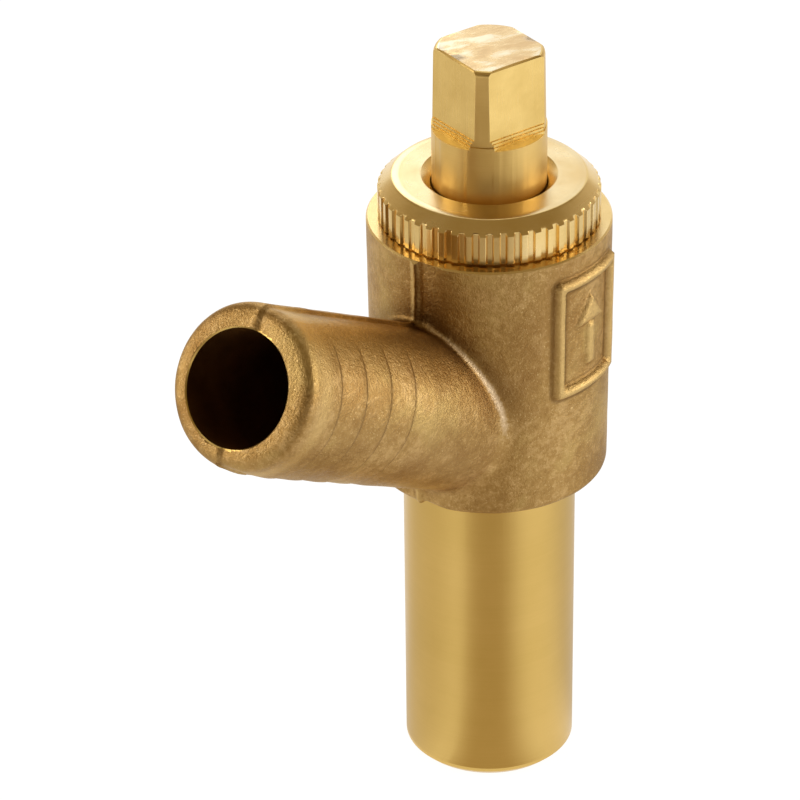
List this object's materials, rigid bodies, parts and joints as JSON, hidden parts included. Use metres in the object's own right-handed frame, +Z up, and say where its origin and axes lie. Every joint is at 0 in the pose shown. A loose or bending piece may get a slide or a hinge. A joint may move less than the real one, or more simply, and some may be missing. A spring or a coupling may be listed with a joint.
{
  "type": "drain cock",
  "caption": "Brass drain cock: plain spigot below, barrel with a rising hose tail, knurled gland nut and a square-headed spindle that screws a rubber washer off its seat.",
  "frame": {"origin": "centre of the spigot's end face, on the barrel's axis", "axes": "+Z up the barrel and spindle axis, +X towards the hose tail, which rises in the XZ plane"},
  "size_m": [0.0476, 0.0213, 0.0686],
  "materials": {
    "stamped_brass": "shot blasted stamping, machined bright on the spigot, rim and bores",
    "turned_brass": "bright turned, straight knurl",
    "milled_brass": "bright turned stem with a milled square",
    "inner_brass": "turned",
    "spring_bronze": "drawn spring wire",
    "seal_rubber": "matt black rubber"
  },
  "bodies": {
    "cock_body": {"valve_body": "stamped_brass", "gland_nut": "turned_brass", "gland_seal": "seal_rubber"},
    "jumper_set": {"jumper": "inner_brass", "jumper_clip": "spring_bronze", "seat_washer": "seal_rubber", "washer_nut": "inner_brass"},
    "spindle_set": {"spindle": "milled_brass", "spindle_o_ring": "seal_rubber"}
  },
  "joints": [
    {"name": "jumper_rise", "type": "slide", "parent": "cock_body", "child": "jumper_set", "axis": [0, 0, 1], "range_m": [0, 0.003]},
    {"name": "spindle_turn", "type": "hinge", "parent": "jumper_set", "child": "spindle_set", "pos_m": [0, 0, 0.045], "axis": [0, 0, 1], "range_deg": [0, 720]}
  ],
  "couplings": [
    {"joint": "spindle_turn", "follows": "jumper_rise", "rad_per_m": 4188.8}
  ]
}
